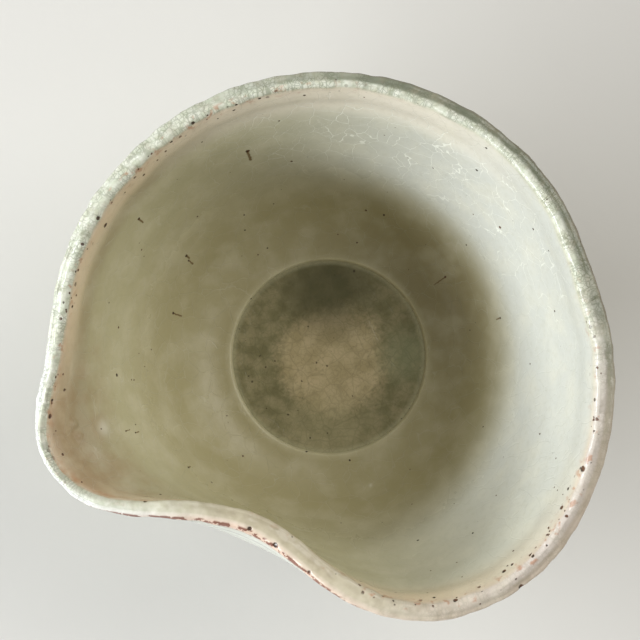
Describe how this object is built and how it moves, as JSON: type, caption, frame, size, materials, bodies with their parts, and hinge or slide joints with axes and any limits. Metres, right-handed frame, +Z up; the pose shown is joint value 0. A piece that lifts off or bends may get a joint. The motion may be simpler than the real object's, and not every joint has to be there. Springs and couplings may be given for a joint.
{
  "type": "spouted pouring bowl",
  "caption": "Hand-thrown stoneware pouring bowl with a pulled spout, a thumbed-in side, a squared lip and crackled celadon glaze.",
  "frame": {"origin": "on the throwing axis, in the plane that the foot ring stands on", "axes": "+Z up out of the bowl's mouth; the spout points along -X and the thumbed-in side faces -X -Y"},
  "size_m": [0.1206, 0.1198, 0.062],
  "materials": {
    "stoneware": "bare fired clay, matte and slightly gritty",
    "outer_celadon": "glossy grey-green crackle glaze",
    "lip_celadon": "glossy double coat with iron spots",
    "inner_celadon": "glossy pale crackle glaze with iron specks",
    "pooled_celadon": "glossy dark green pooled glass, crackled"
  },
  "bodies": {
    "root": {"clay_body": "stoneware", "outer_glaze": "outer_celadon", "lip_glaze": "lip_celadon", "inner_glaze": "inner_celadon", "well_glaze_pool": "pooled_celadon"}
  },
  "joints": []
}
